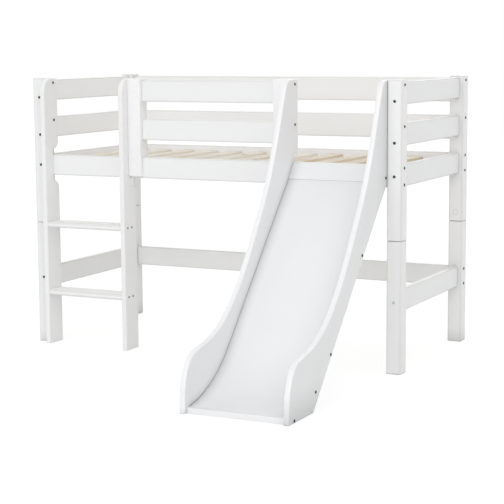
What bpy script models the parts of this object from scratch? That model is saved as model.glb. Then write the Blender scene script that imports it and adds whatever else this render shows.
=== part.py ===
"""Half-high children's bed with a ladder and a slide.

White lacquered boards are bolted between square posts. Each post stands on a separate leg, with a
steel stud in the joint. Slats lie on cleats inside the side boards. A bolt or screw is one solid with
the piece that it is screwed into: its shank stands in a bore of each piece that it passes through, and
its head bears on the last. The bed's length runs along X, and its front, with the ladder and the
slide, faces -Y. Metres, +Z up, floor at Z = 0.
"""

import math

import bmesh
import bpy
from mathutils import Matrix, Vector

# Bed frame
mattress_length = 1.600
mattress_width = 0.700
mattress_play = 0.010
post_width = 0.060
leg_height = 0.526
upper_post_length = 0.6237
board_thickness = 0.022
board_height = 0.088
board_pitch = 0.160
post_top_step = 0.008
low_board_top = 0.330
rear_guard_height = 0.103
edge_round = 0.003

# Slatted base
slat_count = 13
slat_width = 0.068
slat_thickness = 0.018
slat_end_margin = 0.055
slat_end_play = 0.003
slat_round = 0.002
slat_drop = 0.022
cleat_width = 0.022
cleat_height = 0.035
tape_width = 0.018
tape_thickness = 0.0012
tape_setback = 0.065

# Ladder, in the bay next to the left front post
ladder_bay = 0.410
rail_thickness = 0.021
rail_depth = 0.100
rail_top_round = 0.058
rail_edge_round = 0.002
notch_room_above = 0.025
notch_room_below = 0.025
notch_round = 0.035
rung_thickness = 0.024
rung_depth = 0.092
rung_setback = 0.002
rung_round = 0.005
rung_top_shares = (0.292, 0.651)
rung_screw_setbacks = (0.027, 0.060)

# Slide, in the bay next to the right front post
slide_bay = 0.426
slide_reach = 0.904
slide_foot_length = 0.206
slide_hook_drop = 0.055
sheet_thickness = 0.004
groove_depth = 0.006
knee_reach_share = 0.7496
knee_height_share = 0.0665
knee_radius = 0.500
entry_length = 0.078
entry_thickness = 0.020
entry_angle = math.radians(53.0)
entry_lip = 0.0075
entry_round = 0.006
entry_sheet_step = 0.003
entry_screw_share = 0.68
foot_board_setback = 0.015
foot_board_depth = 0.060
foot_board_height = 0.0215
foot_board_nose = 0.023
cross_bar_thickness = 0.018
cross_bar_width = 0.045
cross_bar_shares = (0.295, 0.680, 0.830)

# The slide panel's free edge from the foot up: share of the reach, share of the post height, slope
panel_edge_shares = (
    (1.000, 0.000, math.radians(90.0)),
    (0.905, 0.180, math.radians(17.0)),
    (0.749, 0.210, math.radians(20.0)),
    (0.557, 0.309, math.radians(44.0)),
    (0.293, 0.575, math.radians(55.0)),
    (0.090, 0.905, math.radians(69.0)),
)
handle_share = 0.36
edge_steps = 8
arc_step = math.radians(11.0)

# Gate posts, which end in a tongue in front of the side board
gate_tongue_drop = 0.080

# Bolts with flat heads, and the studs in the legs
bolt_diameter = 0.006
bolt_head_diameter = 0.011
bolt_head_height = 0.002
bolt_hold = 0.030
bolt_top_margin = 0.0115
bolt_bottom_margin = 0.014
stud_diameter = 0.008
stud_length = 0.080
bolt_sides = 8

# Countersunk wood screws, whose heads end flush
screw_diameter = 0.004
screw_head_diameter = 0.008
screw_head_height = 0.0025
screw_length = 0.035
cleat_screw_shares = (-0.8, -0.27, 0.27, 0.8)
gate_screw_spacing = 0.030
gate_screw_drop = 0.012
rung_screw_diameter = 0.005
rung_screw_head_diameter = 0.009
rung_screw_head_height = 0.003
rung_screw_length = 0.060
slide_screw_length = 0.055
screw_sides = 6

# Clearances
fit_gap = 0.0003
cut_overrun = 0.010
merge_distance = 0.00005
flat_angle = math.radians(0.1)
rim_angle = math.radians(50.0)

white = (0.87, 0.87, 0.86)
slide_white = (0.88, 0.88, 0.89)
pine = (0.72, 0.60, 0.42)
steel_dark = (0.10, 0.10, 0.12)
zinc = (0.62, 0.60, 0.55)
tape_white = (0.75, 0.75, 0.72)

# Places that follow from the sizes above, in the bed's own frame
post_height = leg_height + fit_gap + upper_post_length
inner_length = mattress_length + mattress_play
inner_width = mattress_width + mattress_play
board_inset = (post_width - board_thickness) / 2
post_x = inner_length / 2 - board_inset + post_width / 2
post_y = inner_width / 2 - board_inset + post_width / 2
bay_x = post_x - post_width / 2
bay_y = post_y - post_width / 2
front_y = -post_y - post_width / 2
side_board_y = inner_width / 2 + board_thickness / 2
end_board_x = inner_length / 2 + board_thickness / 2
board_front_y = -inner_width / 2 - board_thickness
guard_tops = (post_height - post_top_step, post_height - post_top_step - board_pitch)
deck_top = guard_tops[1] - board_pitch
slat_top = deck_top - slat_drop
cleat_top = slat_top - slat_thickness - fit_gap
ladder_gate_x = -bay_x + ladder_bay + post_width / 2
slide_gate_x = bay_x - slide_bay - post_width / 2
gate_bottom = deck_top - gate_tongue_drop
rail_front_y = -bay_y - rail_depth
rung_y = rail_front_y + rung_setback + rung_depth / 2
rung_tops = [share * deck_top for share in rung_top_shares]
panel_left_x = bay_x - slide_bay + fit_gap + rail_thickness / 2
panel_right_x = bay_x - fit_gap - rail_thickness / 2
channel_left_x = panel_left_x + rail_thickness / 2
channel_right_x = panel_right_x - rail_thickness / 2
channel_x = (channel_left_x + channel_right_x) / 2
channel_width = channel_right_x - channel_left_x
slide_front_y = front_y - slide_reach

# The bed's box runs from the slide's foot to the bolt heads behind the rear posts; its middle is Y = 0
frame_shift = (slide_reach - bolt_head_height - fit_gap) / 2


def clear_scene():
    for thing in list(bpy.data.objects):
        bpy.data.objects.remove(thing, do_unlink=True)


def add_collection(name):
    collection = bpy.data.collections.get(name) or bpy.data.collections.new(name)
    if name not in bpy.context.scene.collection.children:
        bpy.context.scene.collection.children.link(collection)
    return collection


def add_material(name, colour, roughness, metallic):
    material = bpy.data.materials.new(name)
    material.use_nodes = True
    shader = material.node_tree.nodes["Principled BSDF"]
    shader.inputs["Base Color"].default_value = (*colour, 1)
    shader.inputs["Roughness"].default_value = roughness
    shader.inputs["Metallic"].default_value = metallic
    return material


clear_scene()
parts = add_collection("loft_bed")
cutters = add_collection("cutters")
bed_frame = bpy.data.objects.new("bed_frame", None)
bed_frame.location = (0, frame_shift, 0)
parts.objects.link(bed_frame)


def place(name, mesh, location, rotation=None):
    """A new object in the bed's frame."""
    thing = bpy.data.objects.new(name, mesh)
    thing.location = location
    if rotation:
        thing.rotation_euler = rotation.to_euler()
    thing.parent = bed_frame
    return thing


def part(name, mesh, location, colour, roughness=0.35, metallic=0.0, rotation=None):
    thing = place(name, mesh, location, rotation)
    parts.objects.link(thing)
    mesh.materials.clear()
    mesh.materials.append(add_material(name, colour, roughness, metallic))
    return thing


def cutter(name, mesh, location=(0, 0, 0), rotation=None):
    thing = place(name, mesh, location, rotation)
    cutters.objects.link(thing)
    thing.hide_render = True
    thing.display_type = "WIRE"
    return thing


def combine(thing, tool, operation):
    boolean = thing.modifiers.new(tool.name, "BOOLEAN")
    boolean.operation = operation
    boolean.solver = "EXACT"
    boolean.object = tool


def cut(thing, tool):
    combine(thing, tool, "DIFFERENCE")


def box_mesh(name, size, is_rounded=None):
    """A box whose edges that is_rounded picks, by direction and middle, are marked for a bevel."""
    mesh = bpy.data.meshes.new(name)
    work = bmesh.new()
    bmesh.ops.create_cube(work, size=1)
    bmesh.ops.scale(work, vec=size, verts=work.verts)
    if is_rounded:
        weight = work.edges.layers.float.new("bevel_weight_edge")
        for edge in work.edges:
            start, end = edge.verts[0].co, edge.verts[1].co
            edge[weight] = float(bool(is_rounded((end - start).normalized(), (start + end) / 2)))
    work.to_mesh(mesh)
    work.free()
    return mesh


def round_marked_edges(thing, radius, segments):
    bevel = thing.modifiers.new("rounded edges", "BEVEL")
    bevel.limit_method = "WEIGHT"
    bevel.width = radius
    bevel.segments = segments


def board(name, size, location, colour=white, radius=edge_round, segments=2, roughness=0.35):
    """A plank whose four long edges are rounded."""
    axis = max(range(3), key=lambda i: size[i])
    mesh = box_mesh(name, size, lambda direction, middle: round(abs(direction[axis])))
    thing = part(name, mesh, location, colour, roughness)
    round_marked_edges(thing, radius, segments)
    return thing


def filleted(corners, closed=True):
    """An outline through corners (u, v, radius), with each radius as an arc."""
    points = []
    for i, (u, v, radius) in enumerate(corners):
        here = Vector((u, v))
        is_end = not closed and i in (0, len(corners) - 1)
        if is_end or not radius:
            points.append(here)
            continue
        before = Vector(corners[i - 1][:2])
        after = Vector(corners[(i + 1) % len(corners)][:2])
        back = (before - here).normalized()
        ahead = (after - here).normalized()
        turn = math.pi - back.angle(ahead)
        room = min((before - here).length, (after - here).length)
        radius = min(radius, room / math.tan(turn / 2))
        centre = here + (back + ahead).normalized() * radius / math.cos(turn / 2)
        start = here + back * radius * math.tan(turn / 2) - centre
        way = math.copysign(turn, ahead.x * back.y - ahead.y * back.x)
        steps = math.ceil(turn / arc_step)
        for step in range(steps + 1):
            points.append(centre + Matrix.Rotation(way * step / steps, 2) @ start)
    return points


def smooth_run(nodes, steps):
    """Points on a smooth curve through nodes (u, v, slope), with Bezier handles on each slope."""
    points = []
    for (u0, v0, slope0), (u1, v1, slope1) in zip(nodes, nodes[1:]):
        start, end = Vector((u0, v0)), Vector((u1, v1))
        reach = (end - start).length * handle_share
        leave = start + Vector((math.cos(slope0), math.sin(slope0))) * reach
        arrive = end - Vector((math.cos(slope1), math.sin(slope1))) * reach
        for step in range(steps):
            t = step / steps
            s = 1 - t
            points.append(s**3 * start + 3 * s * s * t * leave + 3 * s * t * t * arrive + t**3 * end)
    points.append(Vector(nodes[-1][:2]))
    return points


# Turns a curve's own X, Y and Z into the bed's Y, Z and X, for profiles seen from the bed's end
side_view = Matrix(((0, 0, 1), (1, 0, 0), (0, 1, 0)))


def profile_mesh(name, points, width, closed=True):
    """A flat outline of the side view given a width along X; an open one gives an open strip."""
    curve = bpy.data.curves.new(name, "CURVE")
    curve.dimensions = "2D"
    curve.fill_mode = "BOTH" if closed else "NONE"
    curve.extrude = width / 2
    spline = curve.splines.new("POLY")
    spline.points.add(len(points) - 1)
    for target, point in zip(spline.points, points):
        target.co = (point[0], point[1], 0, 1)
    spline.use_cyclic_u = closed
    guide = bpy.data.objects.new(name, curve)
    cutters.objects.link(guide)
    depsgraph = bpy.context.evaluated_depsgraph_get()
    mesh = bpy.data.meshes.new_from_object(guide.evaluated_get(depsgraph))
    bpy.data.objects.remove(guide, do_unlink=True)
    bpy.data.curves.remove(curve)
    work = bmesh.new()
    work.from_mesh(mesh)
    bmesh.ops.remove_doubles(work, verts=work.verts, dist=merge_distance)
    if closed:
        bmesh.ops.dissolve_limit(work, angle_limit=flat_angle, verts=work.verts, edges=work.edges)
        bmesh.ops.recalc_face_normals(work, faces=work.faces)
    work.to_mesh(mesh)
    work.free()
    return mesh


def side_plate(name, points, x, width, colour=white, radius=0.0, roughness=0.35):
    """A plate cut to a side-view outline, with its rims eased where it has a radius."""
    mesh = profile_mesh(name, points, width)
    thing = part(name, mesh, (x, 0, 0), colour, roughness, rotation=side_view)
    if radius:
        bevel = thing.modifiers.new("eased rims", "BEVEL")
        bevel.limit_method = "ANGLE"
        bevel.angle_limit = rim_angle
        bevel.width = radius
        bevel.segments = 1
    return thing


def turned_mesh(name, profile, sides, closed=False):
    """A profile of (radius, height) points, top to bottom, turned about Z."""
    mesh = bpy.data.meshes.new(name)
    count = len(profile)
    edges = [(i, (i + 1) % count) for i in range(count if closed else count - 1)]
    mesh.from_pydata([(radius, 0, height) for radius, height in profile], edges, [])
    lathe = bpy.data.objects.new(name, mesh)
    cutters.objects.link(lathe)
    screw = lathe.modifiers.new("turned", "SCREW")
    screw.steps = sides
    screw.render_steps = sides
    screw.use_merge_vertices = True
    screw.merge_threshold = merge_distance
    depsgraph = bpy.context.evaluated_depsgraph_get()
    result = bpy.data.meshes.new_from_object(lathe.evaluated_get(depsgraph))
    bpy.data.objects.remove(lathe, do_unlink=True)
    bpy.data.meshes.remove(mesh)
    return result


def copies_mesh(name, copies):
    """One mesh of separate solids, from pairs of a mesh and the matrix that places it."""
    work = bmesh.new()
    for mesh, matrix in copies:
        first = len(work.verts)
        work.from_mesh(mesh)
        work.verts.ensure_lookup_table()
        bmesh.ops.transform(work, matrix=matrix, verts=work.verts[first:])
    mesh = bpy.data.meshes.new(name)
    work.to_mesh(mesh)
    work.free()
    return mesh


def facing(location, direction):
    """Places a turned solid so that its top looks along the direction."""
    turn = Vector(direction).to_track_quat("Z", "Y").to_matrix().to_4x4()
    return Matrix.Translation(location) @ turn


# Posts in two lengths, with a steel stud across the joint

def is_long_or_bottom(direction, middle):
    return round(abs(direction.z)) or middle.z < 0


def is_long_or_top(direction, middle):
    return round(abs(direction.z)) or middle.z > 0


corners = {
    "front_left": (-post_x, -post_y),
    "front_right": (post_x, -post_y),
    "rear_left": (-post_x, post_y),
    "rear_right": (post_x, post_y),
}
posts = {}
legs = {}
for corner, (x, y) in corners.items():
    mesh = box_mesh(corner + "_post", (post_width, post_width, upper_post_length), is_long_or_top)
    posts[corner] = part(corner + "_post", mesh, (x, y, post_height - upper_post_length / 2), white)
    mesh = box_mesh(corner + "_leg", (post_width, post_width, leg_height), is_long_or_bottom)
    legs[corner] = part(corner + "_leg", mesh, (x, y, leg_height / 2), white)
    round_marked_edges(posts[corner], edge_round, 2)
    round_marked_edges(legs[corner], edge_round, 2)

# Boards across both ends and along the rear
end_length = 2 * (bay_y - fit_gap)
side_length = 2 * (bay_x - fit_gap)
end_board_tops = {
    "top_board": guard_tops[0],
    "middle_board": guard_tops[1],
    "bed_board": deck_top,
    "lower_board": low_board_top,
}
end_boards = []
for end, x in (("left", -end_board_x), ("right", end_board_x)):
    for level, top in end_board_tops.items():
        size = (board_thickness, end_length, board_height)
        end_boards.append(board(end + "_end_" + level, size, (x, 0, top - board_height / 2)))

rear_board_sizes = {
    "rear_top_guard": (guard_tops[0], rear_guard_height),
    "rear_middle_guard": (guard_tops[1], rear_guard_height),
    "rear_side_board": (deck_top, board_height),
    "rear_lower_board": (low_board_top, board_height),
}
rear_boards = {}
for name, (top, height) in rear_board_sizes.items():
    size = (side_length, board_thickness, height)
    rear_boards[name] = board(name, size, (0, side_board_y, top - height / 2))

# Front side board, and the two guards between the gate posts
size = (side_length, board_thickness, board_height)
front_side_board = board("front_side_board", size, (0, -side_board_y, deck_top - board_height / 2))
guard_length = slide_gate_x - ladder_gate_x - post_width - 2 * fit_gap
guard_x = (slide_gate_x + ladder_gate_x) / 2
front_guards = []
for name, top in zip(("front_top_guard", "front_middle_guard"), guard_tops):
    size = (guard_length, board_thickness, board_height)
    front_guards.append(board(name, size, (guard_x, -side_board_y, top - board_height / 2)))

# Gate posts, lapped over the front of the side board
lap_depth = 2 * post_width
lap_size = (side_length, lap_depth, deck_top)
lap_y = board_front_y - fit_gap + lap_depth / 2
gate_lap = cutter("gate_lap", box_mesh("gate_lap", lap_size), (0, lap_y, fit_gap + deck_top / 2))
gate_posts = []
for name, x in (("ladder_gate_post", ladder_gate_x), ("slide_gate_post", slide_gate_x)):
    height = post_height - gate_bottom
    mesh = box_mesh(name, (post_width, post_width, height), lambda direction, middle: True)
    post = part(name, mesh, (x, -post_y, gate_bottom + height / 2), white)
    round_marked_edges(post, edge_round, 2)
    cut(post, gate_lap)
    gate_posts.append(post)

# Slats on cleats, held together by two tapes under them
cleats = []
for name, way in (("front_cleat", -1), ("rear_cleat", 1)):
    size = (side_length, cleat_width, cleat_height)
    y = way * (inner_width / 2 - fit_gap - cleat_width / 2)
    cleats.append(board(name, size, (0, y, cleat_top - cleat_height / 2), segments=1))

slat_span = inner_length - 2 * slat_end_margin
slat_pitch = slat_span / (slat_count - 1)
slats = []
for i in range(slat_count):
    size = (slat_width, inner_width - 2 * slat_end_play, slat_thickness)
    location = (-slat_span / 2 + i * slat_pitch, 0, slat_top - slat_thickness / 2)
    slats.append(board("slat_%02d" % (i + 1), size, location, pine, slat_round, 1, roughness=0.6))

tape_y = inner_width / 2 - tape_setback
tape_z = slat_top - slat_thickness - fit_gap - tape_thickness / 2
for name, way in (("front_slat_tape", -1), ("rear_slat_tape", 1)):
    mesh = box_mesh(name, (slat_span + slat_width, tape_width, tape_thickness))
    part(name, mesh, (0, way * tape_y, tape_z), tape_white, 0.9)

# Ladder: two rails notched round the side board, and two rungs
notch_y = board_front_y - fit_gap
notch_top = deck_top + notch_room_above
notch_bottom = deck_top - board_height - notch_room_below
rail_outline = filleted((
    (rail_front_y, 0, 0),
    (-bay_y, 0, 0),
    (-bay_y, notch_bottom, notch_round),
    (notch_y, notch_bottom, 0),
    (notch_y, notch_top, 0),
    (-bay_y, notch_top, notch_round),
    (-bay_y, post_height, edge_round),
    (rail_front_y, post_height, rail_top_round),
))
rail_left_x = -bay_x + fit_gap + rail_thickness / 2
rail_right_x = -bay_x + ladder_bay - fit_gap - rail_thickness / 2
rails = []
for name, x in (("ladder_left_rail", rail_left_x), ("ladder_right_rail", rail_right_x)):
    rails.append(side_plate(name, rail_outline, x, rail_thickness, radius=rail_edge_round))

rung_length = rail_right_x - rail_left_x - rail_thickness - 2 * fit_gap
rung_x = (rail_right_x + rail_left_x) / 2
rungs = []
for name, top in zip(("lower_rung", "upper_rung"), rung_tops):
    size = (rung_length, rung_depth, rung_thickness)
    rungs.append(board(name, size, (rung_x, rung_y, top - rung_thickness / 2), radius=rung_round))

# Slide: the entry board slopes down from the deck, and the sheet runs on from its lower edge
entry_down = Vector((-math.cos(entry_angle), -math.sin(entry_angle)))
entry_out = Vector((-math.sin(entry_angle), math.cos(entry_angle)))
entry_back_y = board_front_y - fit_gap
entry_top = Vector((entry_back_y - entry_lip, deck_top))
entry_foot = entry_top + entry_down * entry_length
entry_heel = entry_foot - entry_out * entry_thickness
entry_back_z = entry_heel.y + (entry_back_y - entry_heel.x) * math.tan(entry_angle)
entry_outline = filleted((
    (entry_back_y, entry_back_z, 0),
    (entry_back_y, deck_top, 0),
    (*entry_top, entry_round),
    (*entry_foot, edge_round),
    (*entry_heel, 0),
))
panel_width = rail_thickness
between_x = channel_width - 2 * fit_gap
entry_board = side_plate("slide_entry_board", entry_outline, channel_x, between_x, slide_white)

# The sheet's middle line: a straight slope, a wide bend and a short run-out onto the foot board
sheet_start = entry_foot - entry_out * (entry_sheet_step + sheet_thickness / 2) + entry_down * fit_gap
foot_board_y = slide_front_y + foot_board_setback
sheet_end = Vector((foot_board_y + foot_board_nose, foot_board_height - sheet_thickness / 2))
sheet_knee = Vector((front_y - slide_reach * knee_reach_share, deck_top * knee_height_share))


def sheet_line(extra):
    """The sheet's middle line, made longer at both ends by the extra."""
    first = sheet_start + (sheet_start - sheet_knee).normalized() * extra
    last = sheet_end + (sheet_end - sheet_knee).normalized() * extra
    return filleted(((*first, 0), (*sheet_knee, knee_radius), (*last, 0)), closed=False)


def solid_strip(thing, thickness):
    solidify = thing.modifiers.new("thickness", "SOLIDIFY")
    solidify.thickness = thickness
    solidify.offset = 0
    solidify.use_even_offset = True


sheet_points = sheet_line(0)
sheet_width = channel_width + 2 * groove_depth
sheet_mesh = profile_mesh("slide_sheet", sheet_points, sheet_width, closed=False)
sheet = part("slide_sheet", sheet_mesh, (channel_x, 0, 0), slide_white, 0.25, rotation=side_view)
solid_strip(sheet, sheet_thickness)
groove_mesh = profile_mesh("sheet_groove", sheet_line(fit_gap), sheet_width + 2 * fit_gap, closed=False)
groove = cutter("sheet_groove", groove_mesh, (channel_x, 0, 0), side_view)
solid_strip(groove, sheet_thickness + 2 * fit_gap)

# The foot board's nose stands in front of the sheet's end, and its rear lies under the sheet
runout = (sheet_end - sheet_knee).normalized()
runout_up = Vector((runout.y, -runout.x))
runout_slope = runout.y / runout.x
under_end = sheet_end - runout_up * (sheet_thickness / 2 + fit_gap)
step_y = sheet_end.x + runout_up.x * sheet_thickness / 2 - fit_gap
foot_rear_y = foot_board_y + foot_board_depth
foot_outline = filleted((
    (foot_board_y, 0, 0),
    (foot_rear_y, 0, 0),
    (foot_rear_y, under_end.y + (foot_rear_y - under_end.x) * runout_slope, 0),
    (step_y, under_end.y + (step_y - under_end.x) * runout_slope, 0),
    (step_y, foot_board_height, 0),
    (foot_board_y, foot_board_height, entry_round),
))
foot_board = side_plate("slide_foot_board", foot_outline, channel_x, between_x, slide_white)

# Side panels: a flowing free edge, a straight lower edge, and a rear edge notched round the side board
panel_corners = [
    (front_y - slide_reach * reach, post_height * rise, slope)
    for reach, rise, slope in panel_edge_shares
]
free_edge = smooth_run(panel_corners, edge_steps)
last_y, last_z, last_slope = panel_corners[-1]
shoulder_y = last_y + (post_height - last_z) / math.tan(last_slope)
hook_z = deck_top - slide_hook_drop
panel_outline = filleted(
    [(point.x, point.y, 0) for point in free_edge]
    + [
        (shoulder_y, post_height, rail_top_round),
        (-bay_y, post_height, edge_round),
        (-bay_y, notch_top, notch_round),
        (notch_y, notch_top, 0),
        (notch_y, hook_z, 0),
        (slide_front_y + slide_foot_length, 0, 0),
    ]
)
panels = []
for name, x in (("slide_left_panel", panel_left_x), ("slide_right_panel", panel_right_x)):
    panel = side_plate(name, panel_outline, x, panel_width, slide_white, rail_edge_round)
    cut(panel, groove)
    panels.append(panel)


def place_on_sheet(share):
    """The point at a share of the sheet's length, and the direction down the slide there."""
    lengths = [(b - a).length for a, b in zip(sheet_points, sheet_points[1:])]
    left = sum(lengths) * share
    for (a, b), length in zip(zip(sheet_points, sheet_points[1:]), lengths):
        if left <= length:
            return a + (b - a) * left / length, (b - a).normalized()
        left -= length
    return sheet_points[-1], (sheet_points[-1] - sheet_points[-2]).normalized()


# Cross bars under the sheet, each as close as the sheet's bend lets a flat bar come
cross_bars = []
bar_centres = []
for i, share in enumerate(cross_bar_shares):
    middle, down = place_on_sheet(share)
    under = Vector((-down.y, down.x))
    near = [p - middle for p in sheet_points if abs((p - middle).dot(down)) < cross_bar_width]
    sag = max([0] + [p.dot(under) for p in near])
    centre = middle + under * (sag + sheet_thickness / 2 + fit_gap + cross_bar_thickness / 2)
    bar_centres.append(centre)
    name = "slide_cross_bar_%d" % (i + 1)
    size = (between_x, cross_bar_width, cross_bar_thickness)
    bar = board(name, size, (channel_x, centre.x, centre.y), slide_white, rail_edge_round, 1)
    bar.rotation_euler = (math.atan2(down.y, down.x), 0, 0)
    cross_bars.append(bar)

# Fasteners, each given by the point of the surface under its head and the way that its head looks

def headed_profiles(diameter, head_diameter, head_height, length):
    """A bolt whose flat head lies a gap above the surface, and its bore."""
    head = head_diameter / 2
    shank = diameter / 2
    bolt = (
        (0, head_height + fit_gap),
        (head, head_height + fit_gap),
        (head, fit_gap),
        (shank, fit_gap),
        (shank, -length),
        (0, -length),
    )
    bore = shank + fit_gap
    return bolt, ((0, cut_overrun), (bore, cut_overrun), (bore, -length), (0, -length))


def countersunk_profiles(diameter, head_diameter, head_height, length):
    """A screw whose countersunk head ends a gap below the surface, and its countersunk bore."""
    head = head_diameter / 2
    shank = diameter / 2
    screw = (
        (0, -fit_gap),
        (head, -fit_gap),
        (shank, -fit_gap - head_height),
        (shank, -length),
        (0, -length),
    )
    mouth = head + fit_gap
    bore = shank + fit_gap
    hole = (
        (0, cut_overrun),
        (mouth, cut_overrun),
        (mouth, -2 * fit_gap),
        (bore, -2 * fit_gap - head_height),
        (bore, -length),
        (0, -length),
    )
    return screw, hole


def turned_copies(name, profile, sides, spots):
    mesh = turned_mesh(name, profile, sides)
    return copies_mesh(name, [(mesh, facing(*spot)) for spot in spots])


def fasten(name, profiles, sides, carried, passed):
    """Fuses bolts or screws with the pieces that hold them, and bores the pieces that they pass."""
    solid, hole = profiles
    for holder, spots in carried:
        label = holder.name + "_" + name
        tool = cutter(label, turned_copies(label, solid, sides, spots))
        combine(holder, tool, "UNION")
    every_spot = [spot for holder, spots in carried for spot in spots]
    bores = cutter(name + "_bores", turned_copies(name + "_bores", hole, sides, every_spot))
    for thing in passed:
        cut(thing, bores)


def bolt_profiles(grip):
    return headed_profiles(bolt_diameter, bolt_head_diameter, bolt_head_height, grip + bolt_hold)


# Bolts through the posts and legs into the ends of the boards between them
outer_x = post_x + post_width / 2
outer_y = post_y + post_width / 2
end_tops = list(end_board_tops.values())
end_levels = [top - board_height + bolt_bottom_margin for top in end_tops[:2]]
end_levels += [top - board_height / 2 for top in end_tops[2:]]
carried = []
for i, end_board in enumerate(end_boards):
    x = math.copysign(post_x, end_board.location.x)
    level = end_levels[i % len(end_levels)]
    carried.append((end_board, [((x, way * outer_y, level), (0, way, 0)) for way in (-1, 1)]))
board_levels = {
    rear_boards["rear_top_guard"]: [guard_tops[0] - bolt_top_margin],
    rear_boards["rear_middle_guard"]: [guard_tops[1] - bolt_top_margin],
}
for long_board, top in (
    (rear_boards["rear_side_board"], deck_top),
    (rear_boards["rear_lower_board"], low_board_top),
    (front_side_board, deck_top),
):
    board_levels[long_board] = [top - bolt_top_margin, top - board_height + bolt_top_margin]
for long_board, levels in board_levels.items():
    y = math.copysign(post_y, long_board.location.y)
    spots = [((way * outer_x, y, level), (way, 0, 0)) for level in levels for way in (-1, 1)]
    carried.append((long_board, spots))
bored = list(posts.values()) + list(legs.values())
fasten("bolts", bolt_profiles(post_width), bolt_sides, carried, bored)

# Bolts that draw the left rail and the right panel to the front posts, and their nuts outside
guard_levels = [top - bolt_top_margin for top in guard_tops]
rail_inner_x = rail_left_x + rail_thickness / 2
carried = [
    (posts["front_left"], [((rail_inner_x, -post_y, level), (1, 0, 0)) for level in guard_levels]),
    (posts["front_right"], [((channel_right_x, -post_y, level), (-1, 0, 0)) for level in guard_levels]),
]
fasten("side_bolts", bolt_profiles(rail_thickness), bolt_sides, carried, [rails[0], panels[1]])
carried = [
    (posts["front_left"], [((-outer_x, -post_y, level), (-1, 0, 0)) for level in guard_levels]),
    (posts["front_right"], [((outer_x, -post_y, level), (1, 0, 0)) for level in guard_levels]),
]
fasten("side_nuts", bolt_profiles(0), bolt_sides, carried, [])

# Bolts through the right rail and the left panel, and through the gate posts, into the front guards
gate_rail_x = rail_right_x - rail_thickness / 2
carried = []
for guard, level in zip(front_guards, guard_levels):
    spots = [((gate_rail_x, -post_y, level), (-1, 0, 0)), ((channel_left_x, -post_y, level), (1, 0, 0))]
    carried.append((guard, spots))
bored = [rails[1], panels[0], *gate_posts]
fasten("gate_bolts", bolt_profiles(rail_thickness + post_width), bolt_sides, carried, bored)

# Studs in the joints between the posts and their legs
half_stud = stud_length / 2
half_bore = half_stud + fit_gap
stud_profile = (
    (0, half_stud),
    (stud_diameter / 2, half_stud),
    (stud_diameter / 2, -half_stud),
    (0, -half_stud),
)
stud_bore = stud_diameter / 2 + fit_gap
stud_bore_profile = ((0, half_bore), (stud_bore, half_bore), (stud_bore, -half_bore), (0, -half_bore))
for corner, (x, y) in corners.items():
    joint = (x, y, leg_height)
    mesh = turned_mesh(corner + "_stud", stud_profile, bolt_sides)
    part(corner + "_stud", mesh, joint, zinc, 0.35, 1.0)
    mesh = turned_mesh(corner + "_stud_bore", stud_bore_profile, bolt_sides)
    bore = cutter(corner + "_stud_bore", mesh, joint)
    cut(posts[corner], bore)
    cut(legs[corner], bore)

# Wood screws through the cleats into the side boards
screw_profiles = countersunk_profiles(screw_diameter, screw_head_diameter, screw_head_height, screw_length)
side_boards = (front_side_board, rear_boards["rear_side_board"])
cleat_inner_y = inner_width / 2 - fit_gap - cleat_width
cleat_z = cleat_top - cleat_height / 2
carried = []
for side_board, way in zip(side_boards, (-1, 1)):
    places = [(share * bay_x, way * cleat_inner_y, cleat_z) for share in cleat_screw_shares]
    carried.append((side_board, [(spot, (0, -way, 0)) for spot in places]))
fasten("cleat_screws", screw_profiles, screw_sides, carried, cleats)

# Wood screws down through the first and the last slat into the cleats
carried = []
for cleat, way in zip(cleats, (-1, 1)):
    y = way * (cleat_inner_y + cleat_width / 2)
    carried.append((cleat, [((end * slat_span / 2, y, slat_top), (0, 0, 1)) for end in (-1, 1)]))
fasten("slat_screws", screw_profiles, screw_sides, carried, [slats[0], slats[-1]])

# Wood screws from behind, through the front side board into the tongues of the gate posts
carried = []
for gate_post, x in zip(gate_posts, (ladder_gate_x, slide_gate_x)):
    places = [
        (x + way * gate_screw_spacing / 2, -inner_width / 2, deck_top - gate_screw_drop)
        for way in (-1, 1)
    ]
    carried.append((gate_post, [(spot, (0, 1, 0)) for spot in places]))
fasten("gate_screws", screw_profiles, screw_sides, carried, [front_side_board])

# Screws through the ladder's rails into the rungs
rung_screw_sizes = (rung_screw_diameter, rung_screw_head_diameter, rung_screw_head_height)
carried = []
for rung, top in zip(rungs, rung_tops):
    spots = []
    for setback in rung_screw_setbacks:
        for x, way in ((rail_left_x, -1), (rail_right_x, 1)):
            face = x + way * rail_thickness / 2
            spots.append(((face, rail_front_y + setback, top - rung_thickness / 2), (way, 0, 0)))
    carried.append((rung, spots))
rung_screw_profiles = countersunk_profiles(*rung_screw_sizes, rung_screw_length)
fasten("rung_screws", rung_screw_profiles, screw_sides, carried, rails)

# Flat-headed screws through the slide's panels into its boards and bars
entry_screw = entry_top + entry_down * entry_length * entry_screw_share - entry_out * entry_thickness / 2
foot_screw = Vector((foot_board_y + foot_board_depth / 2, (foot_board_height - sheet_thickness) / 2))
slide_boards = [entry_board, *cross_bars, foot_board]
carried = []
for slide_board, point in zip(slide_boards, [entry_screw, *bar_centres, foot_screw]):
    faces = ((panel_left_x - panel_width / 2, -1), (panel_right_x + panel_width / 2, 1))
    carried.append((slide_board, [((face, *point), (way, 0, 0)) for face, way in faces]))
slide_screw_sizes = (rung_screw_diameter, bolt_head_diameter, bolt_head_height, slide_screw_length)
fasten("slide_screws", headed_profiles(*slide_screw_sizes), bolt_sides, carried, panels)
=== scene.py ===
# %% [markdown]
# # A half-high children's bed with a ladder and a slide
# The solid model of the bed is already packed. Its solids are right in size, but plain: flat edges,
# one colour each, and bolt heads that are part of the boards. This lesson dresses it. Each board is
# made again with fine rounded edges, the bolts get real heads, and every finish is built from nodes.

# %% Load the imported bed
import math

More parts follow.
